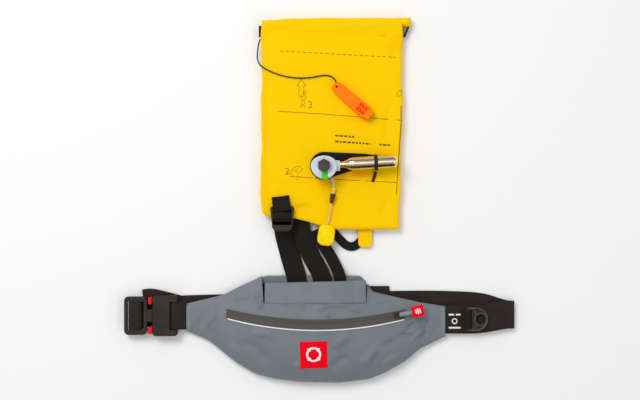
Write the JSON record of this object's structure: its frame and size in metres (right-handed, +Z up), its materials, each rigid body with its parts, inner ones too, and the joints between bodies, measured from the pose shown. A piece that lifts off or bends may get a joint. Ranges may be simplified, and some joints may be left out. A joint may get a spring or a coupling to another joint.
{
  "type": "inflatable life jacket",
  "caption": "Belt-pack inflatable life jacket laid open: waist pouch with belt and buckle, and the folded bladder with gas inflator, whistle and straps.",
  "frame": {"origin": "on the table, under the middle of the box round the opened jacket", "axes": "+X along the belt, from the plug half of the buckle to the folded belt end; +Y from the pouch to the top of the bladder; +Z up from the table, out of the pouch front"},
  "size_m": [0.562, 0.5258, 0.0487],
  "materials": {
    "black_webbing": "matte woven",
    "grey_cloth": "coated, matte",
    "yellow_cloth": "coated, satin",
    "zip_cloth": "matte",
    "black_plastic": "moulded satin",
    "red_plastic": "gloss",
    "badge_red": "satin",
    "reflective_white": "satin",
    "slider_metal": "satin",
    "puller_grey": "matte",
    "ring_plastic": "satin",
    "pad_black": "matte",
    "inflator_grey": "satin",
    "nut_black": "satin",
    "indicator_green": "gloss",
    "cartridge_brass": "polished",
    "steel": "bright",
    "whistle_orange": "satin",
    "cord_black": "braided",
    "cord_white": "braided",
    "toggle_brown": "satin",
    "yellow_plastic": "gloss"
  },
  "bodies": {
    "pouch": {"pouch_back_panel": "grey_cloth", "pouch_front_panel": "grey_cloth", "pouch_left_wing": "grey_cloth", "pouch_right_wing": "grey_cloth", "zip_tape_upper": "zip_cloth", "zip_tape_lower": "zip_cloth", "zip_coil": "zip_cloth", "reflective_piping": "reflective_white", "square_badge": "badge_red", "belt_webbing": "black_webbing", "belt_tunnel_tab": "black_webbing", "buckle_socket": "black_plastic", "socket_stub_webbing": "black_webbing", "d_ring_tab": "black_webbing", "strap_anchor": "black_webbing"},
    "buckle_plug": {"buckle_plug": "black_plastic", "belt_bar_wrap": "black_webbing", "belt_tail": "black_webbing"},
    "latch_upper": {"latch_arm_upper": "black_plastic", "latch_button_upper": "red_plastic"},
    "latch_lower": {"latch_arm_lower": "black_plastic", "latch_button_lower": "red_plastic"},
    "zip_slider": {"zip_slider": "slider_metal"},
    "zip_pull": {"zip_puller": "puller_grey", "zip_tag": "red_plastic"},
    "d_ring": {"d_ring": "ring_plastic"},
    "mouth_flap": {"mouth_flap": "grey_cloth"},
    "bladder": {"bladder_back_lobe": "yellow_cloth", "bladder_front_lobe": "yellow_cloth", "bladder_top_roll": "yellow_cloth", "corner_loop_left": "black_webbing", "corner_loop_right": "black_webbing", "oral_tube": "black_plastic", "inflator_pad": "pad_black", "inflator_body": "inflator_grey", "valve_stem": "steel", "valve_washer": "nut_black", "lever_pin": "steel", "pin_spring": "steel", "cartridge_band": "black_webbing", "whistle_cord": "cord_black", "ladder_stub_webbing": "black_webbing", "strap_left": "black_webbing", "strap_middle": "black_webbing", "strap_right": "black_webbing", "strap_loop": "black_webbing", "bladder_tab": "yellow_cloth"},
    "cap_nut": {"cap_nut": "nut_black"},
    "armed_indicator": {"armed_indicator": "indicator_green"},
    "firing_lever": {"firing_lever": "black_plastic"},
    "firing_pin": {"firing_pin": "steel"},
    "pull_cord": {"pull_cord": "cord_white", "cord_bead": "yellow_plastic", "cord_toggle": "toggle_brown", "pull_handle": "yellow_plastic"},
    "gas_cartridge": {"gas_cartridge": "cartridge_brass"},
    "whistle": {"whistle": "whistle_orange"},
    "ladder_lock": {"ladder_lock": "black_plastic"},
    "oral_cap": {"oral_tube_cap": "yellow_plastic"}
  },
  "joints": [
    {"name": "buckle_release", "type": "slide", "parent": "pouch", "child": "buckle_plug", "axis": [-1, 0, 0], "range_m": [0, 0.045]},
    {"name": "latch_upper_press", "type": "hinge", "parent": "buckle_plug", "child": "latch_upper", "pos_m": [-0.2464, -0.1446, 0.0112], "axis": [0, 0, 1], "range_deg": [-6, 0], "stiffness_Nm_per_rad": 0.4},
    {"name": "latch_lower_press", "type": "hinge", "parent": "buckle_plug", "child": "latch_lower", "pos_m": [-0.2464, -0.1874, 0.0112], "axis": [0, 0, 1], "range_deg": [0, 6], "stiffness_Nm_per_rad": 0.4},
    {"name": "zip_slide", "type": "hinge", "parent": "pouch", "child": "zip_slider", "pos_m": [-0.005, 0.0715, -0.29], "axis": [0, -0.8, -0.6], "range_deg": [0, 33]},
    {"name": "zip_pull_swing", "type": "hinge", "parent": "zip_slider", "child": "zip_pull", "pos_m": [0.11244, -0.16315, 0.03133], "axis": [0.1909, 0.1832, 0.9643], "range_deg": [-35, 35]},
    {"name": "d_ring_flip", "type": "hinge", "parent": "pouch", "child": "d_ring", "pos_m": [0.2115, -0.171, 0.01413], "axis": [0, -1, 0], "range_deg": [0, 110]},
    {"name": "flap_open", "type": "hinge", "parent": "pouch", "child": "mouth_flap", "pos_m": [0, -0.1464, 0.0345], "axis": [1, 0, 0], "range_deg": [0, 85]},
    {"name": "bladder_lift", "type": "hinge", "parent": "pouch", "child": "bladder", "pos_m": [0, -0.113, 0.014], "axis": [1, 0, 0], "range_deg": [0, 95]},
    {"name": "cap_nut_turn", "type": "hinge", "parent": "bladder", "child": "cap_nut", "pos_m": [0.0057, 0.049, 0.0455], "axis": [0, 0, 1], "continuous": true},
    {"name": "indicator_slide", "type": "slide", "parent": "bladder", "child": "armed_indicator", "axis": [0.0593, -0.9982, 0], "range_m": [0, 0.008]},
    {"name": "lever_pull", "type": "hinge", "parent": "bladder", "child": "firing_lever", "pos_m": [0.00544, 0.03646, 0.0236], "axis": [0, 0, 1], "range_deg": [-60, 0], "stiffness_Nm_per_rad": 0.05},
    {"name": "pin_strike", "type": "slide", "parent": "bladder", "child": "firing_pin", "axis": [0.9982, 0.0593, 0], "range_m": [0, 0.0051]},
    {"name": "pull_cord_follow", "type": "hinge", "parent": "firing_lever", "child": "pull_cord", "pos_m": [0.01736, 0.03508, 0.0236], "axis": [0, 0, 1], "range_deg": [0, 60.1]},
    {"name": "cartridge_turn", "type": "hinge", "parent": "bladder", "child": "gas_cartridge", "pos_m": [0.06559, 0.05256, 0.0301], "axis": [0.9982, 0.0593, 0], "continuous": true},
    {"name": "whistle_swing", "type": "hinge", "parent": "bladder", "child": "whistle", "pos_m": [0.024, 0.1615, 0.0208], "axis": [0, 0, 1], "range_deg": [-40, 40]},
    {"name": "ladder_tilt", "type": "hinge", "parent": "bladder", "child": "ladder_lock", "pos_m": [-0.054, -0.0106, 0.0201], "axis": [-1, 0, 0], "range_deg": [0, 35]},
    {"name": "oral_cap_slide", "type": "slide", "parent": "bladder", "child": "oral_cap", "axis": [0, 1, 0], "range_m": [0, 0.008]}
  ],
  "couplings": [
    {"joint": "latch_lower_press", "follows": "latch_upper_press", "ratio": -1},
    {"joint": "pin_strike", "follows": "lever_pull", "m_per_rad": -0.0048},
    {"joint": "pull_cord_follow", "follows": "lever_pull", "ratio": -1}
  ]
}
